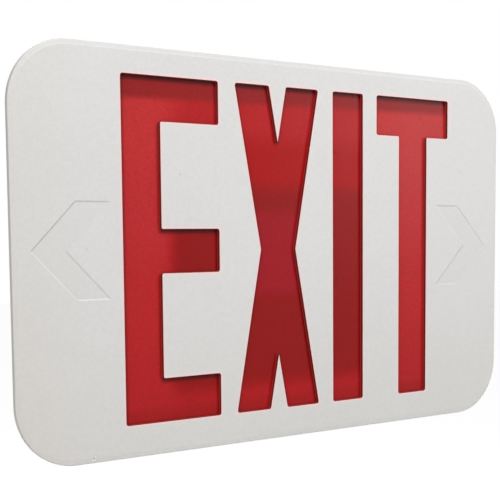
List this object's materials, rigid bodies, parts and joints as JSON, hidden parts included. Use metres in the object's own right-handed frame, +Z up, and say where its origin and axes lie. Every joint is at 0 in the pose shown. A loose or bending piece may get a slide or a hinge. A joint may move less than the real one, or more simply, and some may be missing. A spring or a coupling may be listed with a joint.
{
  "type": "emergency exit light",
  "caption": "Wall-mounted exit light: white stencil face with block-letter apertures over a red diffuser, drafted housing, LED strips, battery and a push-to-test button.",
  "frame": {"origin": "on the wall face, at the middle of the wiring entry and of the box-screw slots", "axes": "+X to the viewer's right, +Y into the wall, +Z up; the stencil face looks along -Y"},
  "size_m": [0.296, 0.036, 0.1836],
  "materials": {
    "face_white": "moulded ABS, fine satin grain",
    "diffuser_red": "translucent red sheet, glossy front",
    "housing_white": "moulded ABS, satin",
    "cover_grey": "moulded, matt",
    "bushing_black": "nylon",
    "screw_zinc": "zinc plated",
    "battery_sleeve": "shrink sleeve",
    "lead_sheath": "PVC sheath",
    "lead_white": "PVC sheath",
    "lead_blue": "PVC sheath",
    "plug_cream": "nylon",
    "board_green": "solder mask over glass laminate",
    "ferrite_grey": "sintered ferrite",
    "coil_tape": "polyester tape over the winding",
    "capacitor_sleeve": "printed-free sleeve over an aluminium can",
    "film_yellow": "epoxy-filled box",
    "component_black": "moulded epoxy",
    "terminal_green": "nylon",
    "terminal_brass": "plated",
    "strip_white": "white solder mask",
    "led_phosphor": "silicone over phosphor",
    "switch_black": "moulded",
    "button_red": "moulded",
    "lamp_green": "tinted epoxy"
  },
  "bodies": {
    "light": {"face_plate": "face_white", "red_diffuser": "diffuser_red", "housing": "housing_white", "gear_cover": "cover_grey", "wiring_bushing": "bushing_black", "indicator_clip": "bushing_black", "gear_cover_screws": "screw_zinc", "battery_strap_screws": "screw_zinc", "driver_board_screws": "screw_zinc", "led_strip_screws": "screw_zinc", "test_switch_nut": "screw_zinc", "test_switch_pins": "screw_zinc", "indicator_legs": "screw_zinc", "battery_strap": "screw_zinc", "battery_pack": "battery_sleeve", "battery_leads": "lead_sheath", "led_leads_top": "lead_white", "led_leads_bottom": "lead_white", "switch_leads": "lead_blue", "indicator_leads": "lead_blue", "battery_plug": "plug_cream", "battery_socket": "plug_cream", "driver_board": "board_green", "transformer_core": "ferrite_grey", "transformer_coil": "coil_tape", "smoothing_capacitors": "capacitor_sleeve", "film_capacitor": "film_yellow", "transfer_relay": "component_black", "control_chip": "component_black", "rectifier_diodes": "component_black", "mains_terminal_block": "terminal_green", "terminal_screws": "terminal_brass", "led_strip_top": "strip_white", "led_strip_bottom": "strip_white", "leds_top": "led_phosphor", "leds_bottom": "led_phosphor", "test_switch_body": "switch_black", "indicator_lamp": "lamp_green"},
    "button": {"test_button": "button_red"}
  },
  "joints": [
    {"name": "test_press", "type": "slide", "parent": "light", "child": "button", "axis": [0, 0, 1], "range_m": [0, 0.002], "stiffness_N_per_m": 1000}
  ]
}
